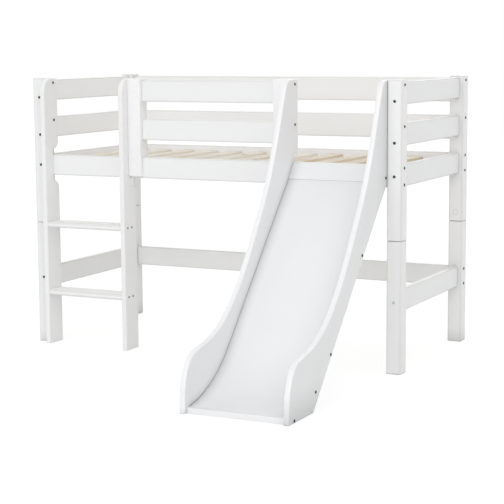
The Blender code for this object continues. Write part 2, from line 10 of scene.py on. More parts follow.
import bmesh
import bpy
from mathutils import Matrix, Vector


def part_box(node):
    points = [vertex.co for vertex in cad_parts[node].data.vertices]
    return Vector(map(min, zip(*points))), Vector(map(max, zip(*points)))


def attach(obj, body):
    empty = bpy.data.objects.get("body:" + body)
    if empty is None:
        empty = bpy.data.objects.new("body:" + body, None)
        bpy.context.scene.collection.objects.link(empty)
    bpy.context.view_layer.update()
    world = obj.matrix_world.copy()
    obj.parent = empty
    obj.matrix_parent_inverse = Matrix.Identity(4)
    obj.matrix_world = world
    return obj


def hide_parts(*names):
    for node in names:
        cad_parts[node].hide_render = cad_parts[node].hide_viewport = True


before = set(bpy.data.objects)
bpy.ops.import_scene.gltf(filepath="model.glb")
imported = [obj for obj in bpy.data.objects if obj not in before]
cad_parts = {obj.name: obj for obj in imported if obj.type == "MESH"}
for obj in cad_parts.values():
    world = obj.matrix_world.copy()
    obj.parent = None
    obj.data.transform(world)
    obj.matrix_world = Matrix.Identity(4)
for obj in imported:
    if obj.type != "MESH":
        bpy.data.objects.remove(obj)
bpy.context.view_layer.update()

print("nodes in the packed bed:", len(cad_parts))

# %% [markdown]
# ## Sizes
# A new board has to lie exactly where the solid one lies, or it floats or sinks into its neighbour.
# That is why the main sizes are written here, in metres, and only the places of the posts are
# measured.

# %% Sizes of the frame
gap = 0.0003
post_width = 0.060
post_height = 1.150
leg_height = 0.526
board_thickness = 0.022
board_height = 0.088
rear_guard_height = 0.103
inner_length = 1.610
inner_width = 0.710
guard_tops = (1.142, 0.982)
deck_top = 0.822
low_board_top = 0.330

front_leg_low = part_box("front_left_leg")[0]
rear_leg_low, rear_leg_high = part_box("rear_right_leg")
middle_y = (front_leg_low.y + rear_leg_high.y) / 2
post_x = (rear_leg_low.x + rear_leg_high.x) / 2
post_y = (rear_leg_low.y + rear_leg_high.y) / 2 - middle_y
bay_x = post_x - post_width / 2
bay_y = post_y - post_width / 2
outer_x = post_x + post_width / 2
outer_y = post_y + post_width / 2
front_y = -outer_y
side_board_y = inner_width / 2 + board_thickness / 2
lap_y = -inner_width / 2 - board_thickness - gap
print("middle of the bed lies at Y =", round(middle_y, 5), "posts at X =", round(post_x, 4))

# %% [markdown]
# ## The camera
# The picture was taken from the front right, a little above the posts, with a long lens. The place,
# the turn and the lens were worked out from the bed's own straight lines: a camera was moved until
# its picture of them fell on the measured ones. No lens shift is needed, which keeps the bed in the
# middle when the camera later goes round it.

# %% Camera
image_size = 504
sensor_width = 36.0
focal_pixels = 1509.17
camera_place = Vector((2.9081, -5.8345 + middle_y, 1.2973))
yaw, pitch, roll = 0.46183, 0.13827, -0.00745

forward = Vector((-math.sin(yaw) * math.cos(pitch), math.cos(yaw) * math.cos(pitch), -math.sin(pitch)))
level = Vector((math.cos(yaw), math.sin(yaw), 0))
upward = level.cross(forward)
right = math.cos(roll) * level + math.sin(roll) * upward
above = -math.sin(roll) * level + math.cos(roll) * upward

lens = bpy.data.cameras.new("camera")
lens.sensor_width = sensor_width
lens.lens = focal_pixels / image_size * sensor_width
camera = bpy.data.objects.new("camera", lens)
turn = Matrix((right, above, -forward)).transposed().to_4x4()
camera.matrix_world = Matrix.Translation(camera_place) @ turn
bpy.context.scene.collection.objects.link(camera)
bpy.context.scene.camera = camera
print("lens", round(lens.lens, 2), "mm")

# %% [markdown]
# ## Meshes for boards
# A board could be a cube with a Bevel modifier. Here it is made in mesh code, because two more things
# are wanted: its long edges are rounder than its ends, and a narrow band just inside each flat face
# marks where the edge stops. That band keeps the flat faces flat under smooth shading, and its
# vertices carry an attribute named edge, which the finishes read to know where paint is thinner.

# %% A box with rounded edges
edge_margin = 0.004
least_flat = 2.2 * edge_margin
same_place = gap / 10
smooth_angle = math.radians(35)


def mesh_from(name, work):
    """Ends the work on a mesh: its faces look outwards, and only its real corners are sharp."""
    bmesh.ops.recalc_face_normals(work, faces=work.faces)
    mesh = bpy.data.meshes.new(name)
    work.to_mesh(mesh)
    work.free()
    mesh.set_sharp_from_angle(angle=smooth_angle)
    return mesh


def edge_marked(name, work, flats):
    """The finished mesh, whose edge attribute is 0 inside the flat faces and 1 beyond their bands."""
    edge = work.verts.layers.float.new("edge")
    for vert in work.verts:
        vert[edge] = 1.0
    for face in flats:
        for vert in face.verts:
            vert[edge] = 0.0
    for face in work.faces:
        face.smooth = True
    return mesh_from(name, work)


def rounded_box(name, size, long_round, end_rounds):
    """A box along X with its long edges rounded, and its two end rims eased by their own amounts."""
    work = bmesh.new()
    bmesh.ops.create_cube(work, size=1)
    bmesh.ops.scale(work, vec=size, verts=work.verts)

    def rim(way):
        """The edges of one end, looked up each time because a bevel makes new ones."""
        end = way * size[0] / 2
        return [
            edge for edge in work.edges if all(abs(vert.co.x - end) < same_place for vert in edge.verts)
        ]

    rims = list(zip((-1, 1), end_rounds))
    both_rims = rim(-1) + rim(1)
    soft = [edge for edge in work.edges if edge not in both_rims]
    for way, radius in rims:
        if radius == long_round:
            soft += rim(way)
    bmesh.ops.bevel(work, geom=soft, offset=long_round, segments=4, profile=0.5, affect="EDGES")
    for way, radius in rims:
        if radius != long_round:
            bmesh.ops.bevel(work, geom=rim(way), offset=radius, segments=2, profile=0.5, affect="EDGES")
    flats = [face for face in work.faces if min(edge.calc_length() for edge in face.edges) > least_flat]
    bmesh.ops.inset_individual(work, faces=flats, thickness=edge_margin, use_even_offset=True)
    return edge_marked(name, work, flats)


print("a face gets a band when it is wider than", round(least_flat * 1000, 1), "mm")

# %% [markdown]
# ## Meshes for shaped plates
# The ladder's rails and the slide's panels are plates cut to an outline. A curve with an extrusion
# and a bevel would give the same body, but its rounded rim grows outwards, so the plate would be
# larger than its outline. Here the outline is filled on both sides, and its rim is beveled inwards.

# %% Outlines and plates
arc_step = math.radians(4)
facing_x = 0.99


def filleted(corners):
    """An outline through corners (u, v, radius), with each radius as an arc."""
    points = []
    for i, (u, v, radius) in enumerate(corners):
        here = Vector((u, v))
        if not radius:
            points.append(here)
            continue
        before = Vector(corners[i - 1][:2])
        after = Vector(corners[(i + 1) % len(corners)][:2])
        back = (before - here).normalized()
        ahead = (after - here).normalized()
        turn = math.pi - back.angle(ahead)
        room = min((before - here).length, (after - here).length)
        radius = min(radius, room / math.tan(turn / 2))
        centre = here + (back + ahead).normalized() * radius / math.cos(turn / 2)
        start = here + back * radius * math.tan(turn / 2) - centre
        way = math.copysign(turn, ahead.x * back.y - ahead.y * back.x)
        steps = math.ceil(turn / arc_step)
        for step in range(steps + 1):
            points.append(centre + Matrix.Rotation(way * step / steps, 2) @ start)
    return points


def prism(outline, ends):
    """A closed body between two places on X, cut to an outline of (y, z) points, and its two ends."""
    work = bmesh.new()
    sides = [[work.verts.new((x, *point)) for point in outline] for x in ends]
    faces = [work.faces.new(side) for side in sides]
    for i in range(len(outline)):
        j = (i + 1) % len(outline)
        work.faces.new((sides[0][i], sides[0][j], sides[1][j], sides[1][i]))
    bmesh.ops.recalc_face_normals(work, faces=work.faces)
    return work, faces


def plate(name, outline, thickness, rim_round, margin=edge_margin):
    """A plate across X, cut to an outline, with its rims and its sharp corners rounded."""
    work, faces = prism(outline, (-thickness / 2, thickness / 2))
    rims = {edge for face in faces for edge in face.edges}
    soft = [edge for edge in work.edges if edge in rims or edge.calc_face_angle() > smooth_angle]
    bmesh.ops.bevel(work, geom=soft, offset=rim_round, segments=3, profile=0.5, affect="EDGES")
    flats = [face for face in work.faces if len(face.verts) > 4 and abs(face.normal.x) > facing_x]
    if margin:
        bmesh.ops.inset_region(work, faces=flats, thickness=margin, use_even_offset=True)
    return edge_marked(name, work, flats if margin else work.faces)


print("an arc turns by", round(math.degrees(arc_step)), "degrees at most from point to point")

# %% [markdown]
# ## Placing a piece
# Every piece is placed in the bed's own frame, which has its middle at X = 0 and Y = middle_y. Each
# piece rides on the one body that this bolted bed has, takes the ending of its name and its finish from
# its slot, and stands for the solid of its name, if there is one. Its finish can be a variant of the
# slot's.

# %% Placing pieces
unturned = Matrix.Identity(4)
along_y = Matrix.Rotation(math.radians(90), 4, "Z")
along_z = Matrix.Rotation(math.radians(-90), 4, "Y")
suffixes = {
    "white_lacquer": "_painted",
    "slide_lacquer": "_painted",
    "slide_laminate": "_laminated",
    "bare_pine": "_planed",
    "zinc_steel": "",
}
pieces = []
finishes = {}


def place(node, mesh, location, slot, finish=None, turn=unturned):
    """A new piece at a place of the bed's frame, with its finish and the solid that it replaces."""
    piece = bpy.data.objects.new(node + suffixes[slot], mesh)
    x, y, z = location
    piece.matrix_world = Matrix.Translation((x, y + middle_y, z)) @ turn
    bpy.context.scene.collection.objects.link(piece)
    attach(piece, "root")
    stands_for = [node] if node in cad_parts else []
    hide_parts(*stands_for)
    pieces.append((piece, finish or slot))
    return piece


# %% [markdown]
# ## Posts and legs
# Each corner has a square post in two lengths, so that the bed can be built low or half-high. The
# joint shows as a fine dark line. Both pieces are boxes with 3 mm edges, but their meeting ends are
# only eased by a millimetre and stay nearly two apart, and that narrow slit makes the line.

# %% Posts and legs
post_round = 0.003
seam_round = 0.0009
seam_width = 0.0018
# All corners' finishes paint shade into their creases, and three of the front pieces are also lighter or
# darker copies of the white, as painted light and shade
corners = {
    "front_left": (-post_x, -post_y, "left_post_lacquer", "left_leg_lacquer"),
    "front_right": (post_x, -post_y, "right_post_lacquer", "right_leg_lacquer"),
    "rear_left": (-post_x, post_y, "rear_post_lacquer", "rear_post_lacquer"),
    "rear_right": (post_x, post_y, "knotty_post_lacquer", "rear_post_lacquer"),
}
for corner, (x, y, post_finish, leg_finish) in corners.items():
    for part, finish, low, high, ends in (
        ("_post", post_finish, leg_height + seam_width, post_height, (seam_round, post_round)),
        ("_leg", leg_finish, 0, leg_height, (post_round, seam_round)),
    ):
        node = corner + part
        mesh = rounded_box(node, (high - low, post_width, post_width), post_round, ends)
        place(node, mesh, (x, y, (low + high) / 2), "white_lacquer", finish, along_z)
print("posts and legs:", len(pieces))

# %% [markdown]
# ## Boards
# The boards are planed, rounded along their length and cut square at the ends, where they stand
# against the posts. One function makes a board from its middle and its three sizes. The longest size
# becomes the mesh's own X axis, so the wood's figure later runs along every board.

# %% Boards between the posts
board_round = 0.003
end_ease = 0.0006


def board(node, size, location, slot="white_lacquer", finish=None, radius=board_round):
    """A board that stands for a node: its size and place are the bed's, and its figure runs along it."""
    turn = unturned
    if size[1] > size[0]:
        size = (size[1], size[0], size[2])
        turn = along_y
    mesh = rounded_box(node, size, radius, (end_ease, end_ease))
    place(node, mesh, location, slot, finish, turn)


end_length = 2 * (bay_y - gap)
side_length = 2 * (bay_x - gap)
end_board_x = inner_length / 2 + board_thickness / 2
for end, x in (("left", -end_board_x), ("right", end_board_x)):
    for board_name, top_z in (
        ("_end_top_board", guard_tops[0]),
        ("_end_middle_board", guard_tops[1]),
        ("_end_bed_board", deck_top),
        ("_end_lower_board", low_board_top),
    ):
        size = (board_thickness, end_length, board_height)
        # The upper boards of the left end get a lighter copy of the white: painted light
        finish = "pale_lacquer" if end == "left" and top_z >= deck_top else None
        board(end + board_name, size, (x, 0, top_z - board_height / 2), finish=finish)

for node, top_z, height, y in (
    ("rear_top_guard", guard_tops[0], rear_guard_height, side_board_y),
    ("rear_middle_guard", guard_tops[1], rear_guard_height, side_board_y),
    ("rear_side_board", deck_top, board_height, side_board_y),
    ("rear_lower_board", low_board_top, board_height, side_board_y),
    ("front_side_board", deck_top, board_height, -side_board_y),
):
    board(node, (side_length, board_thickness, height), (0, y, top_z - height / 2))

ladder_bay = 0.410
slide_bay = 0.426
ladder_gate_x = -bay_x + ladder_bay + post_width / 2
slide_gate_x = bay_x - slide_bay - post_width / 2
guard_length = slide_gate_x - ladder_gate_x - post_width - 2 * gap
for node, top_z in zip(("front_top_guard", "front_middle_guard"), guard_tops):
    spot = ((slide_gate_x + ladder_gate_x) / 2, -side_board_y, top_z - board_height / 2)
    board(node, (guard_length, board_thickness, board_height), spot)
print("pieces so far:", len(pieces))

# %% [markdown]
# ## Gate posts
# The two posts beside the ladder and the slide are shorter. Each ends in a tongue that laps over the
# front of the side board. Seen from the bed's end it is an outline with one step, so it is a plate
# 60 mm thick.

# %% Gate posts
gate_tongue_drop = 0.080
gate_round = 0.002
gate_bottom = deck_top - gate_tongue_drop
gate_outline = filleted((
    (front_y, gate_bottom, 0),
    (lap_y, gate_bottom, 0),
    (lap_y, deck_top + gap, 0),
    (-bay_y, deck_top + gap, 0),
    (-bay_y, post_height, 0),
    (front_y, post_height, 0),
))
for node, x in (("ladder_gate_post", ladder_gate_x), ("slide_gate_post", slide_gate_x)):
    mesh = plate(node, gate_outline, post_width, gate_round)
    # The gate posts get a lighter copy of the white: painted light
    place(node, mesh, (x, 0, 0), "white_lacquer", "gate_lacquer")
print("gate posts end", round(gate_bottom, 3), "m above the floor")

# %% [markdown]
# ## The slatted base
# Thirteen bare pine slats lie on two cleats and are kept at their distance by two woven tapes under
# them. The slats are the only unpainted wood, so their figure, knots and colour are worth the most
# attention; their shape is a plain board with slightly rounded edges.

# %% Cleats and slats
slat_count = 13
pale_slat_count = 8
knotty_slat = 10
slat_top = 0.800
slat_thickness = 0.018
slat_width = 0.068
slat_round = 0.002
slat_end_margin = 0.055
slat_end_play = 0.003
cleat_width = 0.022
cleat_height = 0.035

cleat_y = inner_width / 2 - gap - cleat_width / 2
cleat_z = slat_top - slat_thickness - gap - cleat_height / 2
for node, y in (("front_cleat", -cleat_y), ("rear_cleat", cleat_y)):
    board(node, (side_length, cleat_width, cleat_height), (0, y, cleat_z))

slat_span = inner_length - 2 * slat_end_margin
slat_length = inner_width - 2 * slat_end_play
slat_pitch = slat_span / (slat_count - 1)
slat_finishes = ["pale_pine"] * pale_slat_count + ["warm_pine"] * (slat_count - pale_slat_count)
slat_finishes[knotty_slat - 1] = "knotty_pine"
for i, finish in enumerate(slat_finishes):
    size = (slat_width, slat_length, slat_thickness)
    spot = (-slat_span / 2 + i * slat_pitch, 0, slat_top - slat_thickness / 2)
    board("slat_%02d" % (i + 1), size, spot, "bare_pine", finish, slat_round)
print("slat pitch:", round(slat_pitch * 1000, 1), "mm")

# %% [markdown]
# ## The ladder
# Two rails and two rungs. A rail is a plate cut round the side board, with a large round at its top
# front corner, where a child's hand lands. The rungs are boards with well-rounded edges.

# %% Ladder
rail_thickness = 0.021
rail_depth = 0.100
rail_round = 0.0025
hand_round = 0.058
notch_round = 0.035
notch_room = 0.025
notch_top = deck_top + notch_room
notch_bottom = deck_top - board_height - notch_room
rail_front_y = -bay_y - rail_depth
rail_outline = filleted((
    (rail_front_y, 0, 0),
    (-bay_y, 0, 0),
    (-bay_y, notch_bottom, notch_round),
    (lap_y, notch_bottom, 0),
    (lap_y, notch_top, 0),
    (-bay_y, notch_top, notch_round),
    (-bay_y, post_height, 0),
    (rail_front_y, post_height, hand_round),
))
rail_left_x = -bay_x + gap + rail_thickness / 2
rail_right_x = -bay_x + ladder_bay - gap - rail_thickness / 2
for node, x in (("ladder_left_rail", rail_left_x), ("ladder_right_rail", rail_right_x)):
    mesh = plate(node, rail_outline, rail_thickness, rail_round)
    place(node, mesh, (x, 0, 0), "white_lacquer", "upright_lacquer")

rung_thickness = 0.024
rung_depth = 0.092
rung_setback = 0.002
rung_round = 0.006
rung_top_shares = (0.292, 0.651)
rung_tops = [share * deck_top for share in rung_top_shares]
rung_size = (rail_right_x - rail_left_x - rail_thickness - 2 * gap, rung_depth, rung_thickness)
rung_x = (rail_right_x + rail_left_x) / 2
rung_y = rail_front_y + rung_setback + rung_depth / 2
for node, top_z in zip(("lower_rung", "upper_rung"), rung_tops):
    board(node, rung_size, (rung_x, rung_y, top_z - rung_thickness / 2), radius=rung_round)
print("tops of the rungs:", [round(top_z, 3) for top_z in rung_tops])

# %% [markdown]
# ## The slide's lines
# Seen from the side, the slide is a few lines: the entry board slopes from the deck, the sheet runs
# down and bends out onto the floor, and the panel's free edge flows from the handhold to the foot.
# The free edge has Bezier handles at a few places with a known slope, which is how a template for it
# would be drawn.

# %% Places across the slide
slide_reach = 0.904
slide_front_y = front_y - slide_reach
sheet_thickness = 0.004
panel_thickness = rail_thickness
panel_left_x = bay_x - slide_bay + gap + panel_thickness / 2
panel_right_x = bay_x - gap - panel_thickness / 2
channel_x = (panel_left_x + panel_right_x) / 2
channel_width = panel_right_x - panel_left_x - panel_thickness
print("channel between the panels:", round(channel_width, 4), "m")

# %% Places along the slide
entry_angle = math.radians(53)
entry_lip = 0.0075
entry_length = 0.078
entry_thickness = 0.020
entry_sheet_step = 0.003
entry_down = Vector((-math.cos(entry_angle), -math.sin(entry_angle)))
entry_out = Vector((-math.sin(entry_angle), math.cos(entry_angle)))
entry_top = Vector((lap_y - entry_lip, deck_top))
entry_foot = entry_top + entry_down * entry_length
entry_heel = entry_foot - entry_out * entry_thickness
entry_back_z = entry_heel.y + (lap_y - entry_heel.x) * math.tan(entry_angle)

foot_board_setback = 0.015
foot_board_height = 0.0215
foot_board_nose = 0.023
foot_board_y = slide_front_y + foot_board_setback

sheet_start = entry_foot - entry_out * (entry_sheet_step + sheet_thickness / 2) + entry_down * gap
sheet_end = Vector((foot_board_y + foot_board_nose, foot_board_height - sheet_thickness / 2))
knee_reach_share = 0.7496
knee_height_share = 0.0665
knee_radius = 0.500
sheet_knee = Vector((front_y - slide_reach * knee_reach_share, deck_top * knee_height_share))


def sheet_line(extra):
    """The sheet's middle line, made longer at both ends by the extra."""
    first = sheet_start + (sheet_start - sheet_knee).normalized() * extra
    last = sheet_end + (sheet_end - sheet_knee).normalized() * extra
    return filleted(((*first, 0), (*sheet_knee, knee_radius), (*last, 0)))


def band(points, under, over):
    """A closed outline round a line, reaching this far under and over it."""
    lower, upper = [], []
    for i, point in enumerate(points):
        along = (points[min(i + 1, len(points) - 1)] - points[max(i - 1, 0)]).normalized()
        across = Vector((along.y, -along.x))
        lower.append(point - across * under)
        upper.append(point + across * over)
    return lower + upper[::-1]


print("sheet runs from", [round(v, 3) for v in sheet_start], "to", [round(v, 3) for v in sheet_end])

# %% The panel's free edge
# Each place is a share of the slide's reach, a share of the posts' height, and a slope in degrees
panel_edge = (
    (1.000, 0.000, 90),
    (0.905, 0.180, 17),
    (0.749, 0.210, 20),
    (0.557, 0.309, 44),
    (0.293, 0.575, 55),
    (0.090, 0.905, 69),
)
handle_share = 0.36
edge_steps = 20


def free_edge():
    """The panel's flowing edge from the foot to the handhold."""
    nodes = [
        (Vector((front_y - slide_reach * reach, post_height * rise)), math.radians(slope))
        for reach, rise, slope in panel_edge
    ]
    points = []
    for (start, slope0), (end, slope1) in zip(nodes, nodes[1:]):
        pull = (end - start).length * handle_share
        leave = start + Vector((math.cos(slope0), math.sin(slope0))) * pull
        arrive = end - Vector((math.cos(slope1), math.sin(slope1))) * pull
        for step in range(edge_steps):
            t = step / edge_steps
            s = 1 - t
            points.append(s**3 * start + 3 * s * s * t * leave + 3 * s * t * t * arrive + t**3 * end)
    return points + [nodes[-1][0]]


edge_points = free_edge()
print("points on the free edge:", len(edge_points))

# %% [markdown]
# ## The slide's panels and sheet
# Each panel has a groove that holds the sheet's edge. The groove is a little wider than the sheet, and
# that narrow gap is the dark line beside the sheet. It is cut for real, with a Boolean, so that it
# shows as a dark line from every side.

# %% Panels
panel_round = 0.003
shoulder_slope = math.radians(panel_edge[-1][2])
shoulder_y = edge_points[-1].x + (post_height - edge_points[-1].y) / math.tan(shoulder_slope)
slide_hook_drop = 0.055
slide_foot_length = 0.206
panel_outline = filleted([(*point, 0) for point in edge_points] + [
    (shoulder_y, post_height, hand_round),
    (-bay_y, post_height, 0),
    (-bay_y, notch_top, notch_round),
    (lap_y, notch_top, 0),
    (lap_y, deck_top - slide_hook_drop, 0),
    (slide_front_y + slide_foot_length, 0, 0),
])
groove_depth = 0.006
groove_over = 0.0026
groove = band(sheet_line(gap), sheet_thickness / 2 + gap, sheet_thickness / 2 + groove_over)
groove_outline = [(point.x + middle_y, point.y) for point in groove]
groove_reach = channel_width / 2 + groove_depth + gap


def carve(piece, work):
    """Cuts a closed body, given in world places, out of a piece and keeps the result as its mesh."""
    recess = bpy.data.objects.new("recess", mesh_from("recess", work))
    bpy.context.scene.collection.objects.link(recess)
    boolean = piece.modifiers.new("recess", "BOOLEAN")
    boolean.solver = "EXACT"
    boolean.object = recess
    depsgraph = bpy.context.evaluated_depsgraph_get()
    carved = bpy.data.meshes.new_from_object(piece.evaluated_get(depsgraph))
    piece.modifiers.clear()
    piece.data = carved
    carved.set_sharp_from_angle(angle=smooth_angle)
    bpy.data.objects.remove(recess, do_unlink=True)


# The right panel's finish is a darker copy of the panels' white with a wider crease shade: painted shade
for node, x, finish in (
    ("slide_left_panel", panel_left_x, "slide_lacquer"),
    ("slide_right_panel", panel_right_x, "slide_right_lacquer"),
):
    mesh = plate(node, panel_outline, panel_thickness, panel_round)
    panel = place(node, mesh, (x, 0, 0), "slide_lacquer", finish)
    carve(panel, prism(groove_outline, (channel_x - groove_reach, channel_x + groove_reach))[0])
    print(node, "has", len(panel.data.polygons), "faces")

# %% Sheet
sheet_round = 0.0004
sheet_points = sheet_line(0)
outline = band(sheet_points, sheet_thickness / 2, sheet_thickness / 2)
mesh = plate("slide_sheet", outline, channel_width + 2 * groove_depth, sheet_round, margin=0)
place("slide_sheet", mesh, (channel_x, 0, 0), "slide_laminate")
print("points on the sheet's line:", len(sheet_points))

# %% [markdown]
# ## The slide's entry, foot and bars
# The entry board carries the child over the side board, the foot board hides the sheet's front edge,
# and three bars under the sheet keep it stiff. The entry and foot boards are plates again, seen from
# the side; the bars are boards tilted to the slope.

# %% Entry board and foot board
end_play = 0.0006
between_x = channel_width - 2 * end_play
entry_nose_round = 0.006
entry_foot_round = 0.003
entry_outline = filleted((
    (lap_y, entry_back_z, 0),
    (lap_y, deck_top, 0),
    (*entry_top, entry_nose_round),
    (*entry_foot, entry_foot_round),
    (*entry_heel, 0),
))

foot_board_depth = 0.060
foot_nose_round = 0.006
runout = (sheet_end - sheet_knee).normalized()
runout_up = Vector((runout.y, -runout.x))
under_end = sheet_end - runout_up * (sheet_thickness / 2 + gap)
step_y = sheet_end.x + runout_up.x * sheet_thickness / 2 - gap
foot_rear_y = foot_board_y + foot_board_depth


def under_sheet(y):
    """The height of the sheet's underside on the run-out."""
    return under_end.y + (y - under_end.x) * runout.y / runout.x


foot_outline = filleted((
    (foot_board_y, 0, 0),
    (foot_rear_y, 0, 0),
    (foot_rear_y, under_sheet(foot_rear_y), 0),
    (step_y, under_sheet(step_y), 0),
    (step_y, foot_board_height, 0),
    (foot_board_y, foot_board_height, foot_nose_round),
))
for node, outline, rim_round, finish in (
    ("slide_entry_board", entry_outline, 0.0012, "slide_laminate"),
    ("slide_foot_board", foot_outline, 0.0008, "slide_board_lacquer"),
):
    mesh = plate(node, outline, between_x, rim_round, margin=0)
    place(node, mesh, (channel_x, 0, 0), "slide_lacquer", finish)
print("boards between the panels are", round(between_x, 4), "m long")

# %% Cross bars
bar_thickness = 0.018
bar_width = 0.045
bar_round = 0.002
bar_shares = (0.295, 0.680, 0.830)


def place_on_sheet(share):
    """The point at a share of the sheet's length, and the direction down the slide there."""
    steps = [(start, end - start) for start, end in zip(sheet_points, sheet_points[1:])]
    left = sum(step.length for start, step in steps) * share
    for start, step in steps:
        if left <= step.length:
            return start + step * left / step.length, step.normalized()
        left -= step.length


bar_centres = []
for i, share in enumerate(bar_shares):
    middle, down = place_on_sheet(share)
    under = Vector((-down.y, down.x))
    offsets = [point - middle for point in sheet_points]
    sag = max([0] + [offset.dot(under) for offset in offsets if abs(offset.dot(down)) < bar_width])
    centre = middle + under * (sag + sheet_thickness / 2 + gap + bar_thickness / 2)
    bar_centres.append(centre)
    node = "slide_cross_bar_%d" % (i + 1)
    mesh = rounded_box(node, (between_x, bar_width, bar_thickness), bar_round, (end_ease, end_ease))
    tilt = Matrix.Rotation(math.atan2(down.y, down.x), 4, "X")
    place(node, mesh, (channel_x, *centre), "slide_lacquer", turn=tilt)
print("pieces so far:", len(pieces))

# %% [markdown]
# ## Bolts and screws
# The heads are small, but they are dark on white, so the eye finds them at once. A head is turned
# from a short profile, with a six-sided socket sunk into it. It is built from rings of points, from
# the rim inwards: where a ring follows a hexagon instead of a circle, the socket appears.

# %% Heads of bolts and screws
ring_points = 24
hexagon_half = math.radians(30)
quarter = math.radians(90)


def ring(height, reach):
    """Points round the middle, each as far out as the function reach says for its angle."""
    angles = [2 * math.pi * i / ring_points for i in range(ring_points)]
    return [Vector((reach(a) * math.cos(a), reach(a) * math.sin(a), height)) for a in angles]


def round_ring(radius, height):
    return ring(height, lambda angle: radius)


def hexagon_ring(radius, height):
    """Points at the same angles as a round ring's, but on a hexagon with this corner radius."""
    flat = radius * math.cos(hexagon_half)
    return ring(height, lambda angle: flat / math.cos(angle % (2 * hexagon_half) - hexagon_half))


def cross_ring(radius, width, height):
    """Points on a plus sign with arms of this width, for a cross recess."""
    def reach(angle):
        off = min(angle % quarter, quarter - angle % quarter)
        on_arm = off <= math.atan2(width / 2, radius)
        return radius / math.cos(off) if on_arm else width / 2 / math.sin(off)

    return ring(height, reach)


def turned_copies(rings, spots):
    """Copies of one body, made from its rings, at every spot: a point and the way that it looks."""
    work = bmesh.new()
    for (x, y, z), direction in spots:
        turn = Vector(direction).to_track_quat("Z", "Y").to_matrix().to_4x4()
        matrix = Matrix.Translation((x, y + middle_y, z)) @ turn
        loops = [[work.verts.new(matrix @ point) for point in points] for points in rings]
        for low, high in zip(loops, loops[1:]):
            for i in range(ring_points):
                j = (i + 1) % ring_points
                work.faces.new((low[i], low[j], high[j], high[i]))
        work.faces.new(loops[0][::-1])
        work.faces.new(loops[-1])
    return work


head_profile = ((0.0055, 0), (0.0055, 0.0012), (0.0052, 0.0017), (0.0046, 0.0020))
socket_profile = ((0.0027, 0.0020), (0.0025, 0.0018), (0.0025, 0.0002))
bolt_rings = [round_ring(radius, gap + height) for radius, height in head_profile]
bolt_rings += [hexagon_ring(radius, gap + height) for radius, height in socket_profile]
screw_rings = [
    round_ring(0.0024, -0.0033),
    round_ring(0.0044, -gap - 0.0002),
    round_ring(0.0043, -gap),
    cross_ring(0.0026, 0.0010, -gap),
    cross_ring(0.0016, 0.0008, -0.0018),
]
countersink_rings = [round_ring(0.0026, -0.0045), round_ring(0.0049, -gap), round_ring(0.0050, 0.0010)]
print("rings of a bolt's head:", len(bolt_rings))

# %% [markdown]
# ## Where the fasteners sit
# Bolts draw the boards' ends to the posts: two at each end of the long boards below the guards, and
# one at each end of all others. Smaller screws hold the rungs, the slats and the slide's parts. Heads
# of one kind that do one job are one piece, as on a parts list.

# %% Places of the fasteners
top_margin = 0.0115
bottom_margin = 0.014
end_levels = [top_z - board_height + bottom_margin for top_z in guard_tops]
end_levels += [deck_top - board_height / 2, low_board_top - board_height / 2]
guard_levels = [top_z - top_margin for top_z in guard_tops]
pair_levels = [
    z
    for top_z in (deck_top, low_board_top)
    for z in (top_z - top_margin, top_z - board_height + top_margin)
]

end_spots = [
    ((x, way * outer_y, z), (0, way, 0)) for x in (-post_x, post_x) for way in (-1, 1) for z in end_levels
]
newer_spot = ((post_x, -outer_y, end_levels[-1]), (0, -1, 0))
end_spots.remove(newer_spot)
side_spots = [
    ((way * outer_x, y, z), (way, 0, 0))
    for y, levels in ((post_y, guard_levels + pair_levels), (-post_y, guard_levels + pair_levels[:2]))
    for way in (-1, 1)
    for z in levels
]


def on_plates(points, faces):
    """Spots on the faces of plates; a face is its plate's middle on X and the way that it looks."""
    return [((x + way * rail_thickness / 2, y, z), (way, 0, 0)) for y, z in points for x, way in faces]


rail_inner_faces = ((rail_left_x, 1), (rail_right_x, -1))
rail_outer_faces = ((rail_left_x, -1), (rail_right_x, 1))
panel_inner_faces = ((panel_left_x, 1), (panel_right_x, -1))
panel_outer_faces = ((panel_left_x, -1), (panel_right_x, 1))
gate_spots = on_plates([(-post_y, z) for z in guard_levels], rail_inner_faces + panel_inner_faces)

entry_screw_share = 0.68
entry_screw = entry_top + entry_down * entry_length * entry_screw_share - entry_out * entry_thickness / 2
foot_screw = Vector((foot_board_y + foot_board_depth / 2, (foot_board_height - sheet_thickness) / 2))
slide_spots = on_plates([entry_screw, *bar_centres, foot_screw], panel_outer_faces)

rung_screw_setbacks = (0.027, 0.060)
rung_points = [
    (rail_front_y + setback, top_z - rung_thickness / 2)
    for top_z in rung_tops
    for setback in rung_screw_setbacks
]
rung_spots = on_plates(rung_points, rail_outer_faces)
slat_spots = [((x * slat_span / 2, y * cleat_y, slat_top), (0, 0, 1)) for x in (-1, 1) for y in (-1, 1)]
print("levels of the bolts in the ends:", [round(z, 3) for z in end_levels])

# %% Place the heads
for name, rings, spots, finish in (
    ("end_board_bolt_heads", bolt_rings, end_spots, "zinc_steel"),
    ("newer_bolt_head", bolt_rings, [newer_spot], "bright_zinc"),
    ("side_board_bolt_heads", bolt_rings, side_spots, "zinc_steel"),
    ("gate_bolt_heads", bolt_rings, gate_spots, "zinc_steel"),
    ("slide_screw_heads", bolt_rings, slide_spots, "zinc_steel"),
    ("rung_screw_heads", screw_rings, rung_spots, "zinc_steel"),
    ("slat_screw_heads", screw_rings, slat_spots, "zinc_steel"),
):
    mesh = edge_marked(name, turned_copies(rings, spots), [])
    place(name, mesh, (0, -middle_y, 0), "zinc_steel", finish)
    print(name, len(spots))

# %% [markdown]
# ## Countersinks
# A flat screw head needs a funnel to lie in. The funnels are cut out of the ladder's rails and the
# two outer slats. They are a little wider than the heads, so a thin dark ring is left round each.

